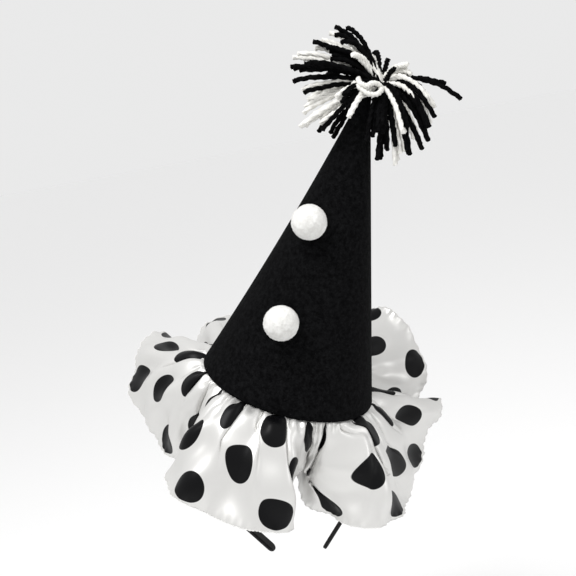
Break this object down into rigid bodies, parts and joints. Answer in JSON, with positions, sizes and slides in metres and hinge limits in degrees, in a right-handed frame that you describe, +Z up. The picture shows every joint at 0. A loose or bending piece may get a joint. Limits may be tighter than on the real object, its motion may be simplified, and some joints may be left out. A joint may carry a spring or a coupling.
{
  "type": "clown cone headband",
  "caption": "Tall felt cone on a head band, tilted to one side, with a gathered spotted satin frill, round pom buttons and a yarn pompom.",
  "frame": {"origin": "the middle of the band's inner face at the crown, where it sits on the head", "axes": "+Z up, X from ear to ear with the cone tilted towards +X, and the wearer looks along -Y"},
  "size_m": [0.2749, 0.2284, 0.3537],
  "materials": {
    "band_plastic": "satin black",
    "black_felt": "matte felt",
    "white_satin": "white satin with round black spots",
    "white_pom": "short soft nap",
    "mixed_yarn": "black and white knitting yarn"
  },
  "bodies": {
    "root": {"head_band": "band_plastic", "base_disc": "black_felt", "felt_cone": "black_felt", "satin_frill": "white_satin", "button_upper": "white_pom", "button_lower": "white_pom", "yarn_pompom": "mixed_yarn"}
  },
  "joints": []
}
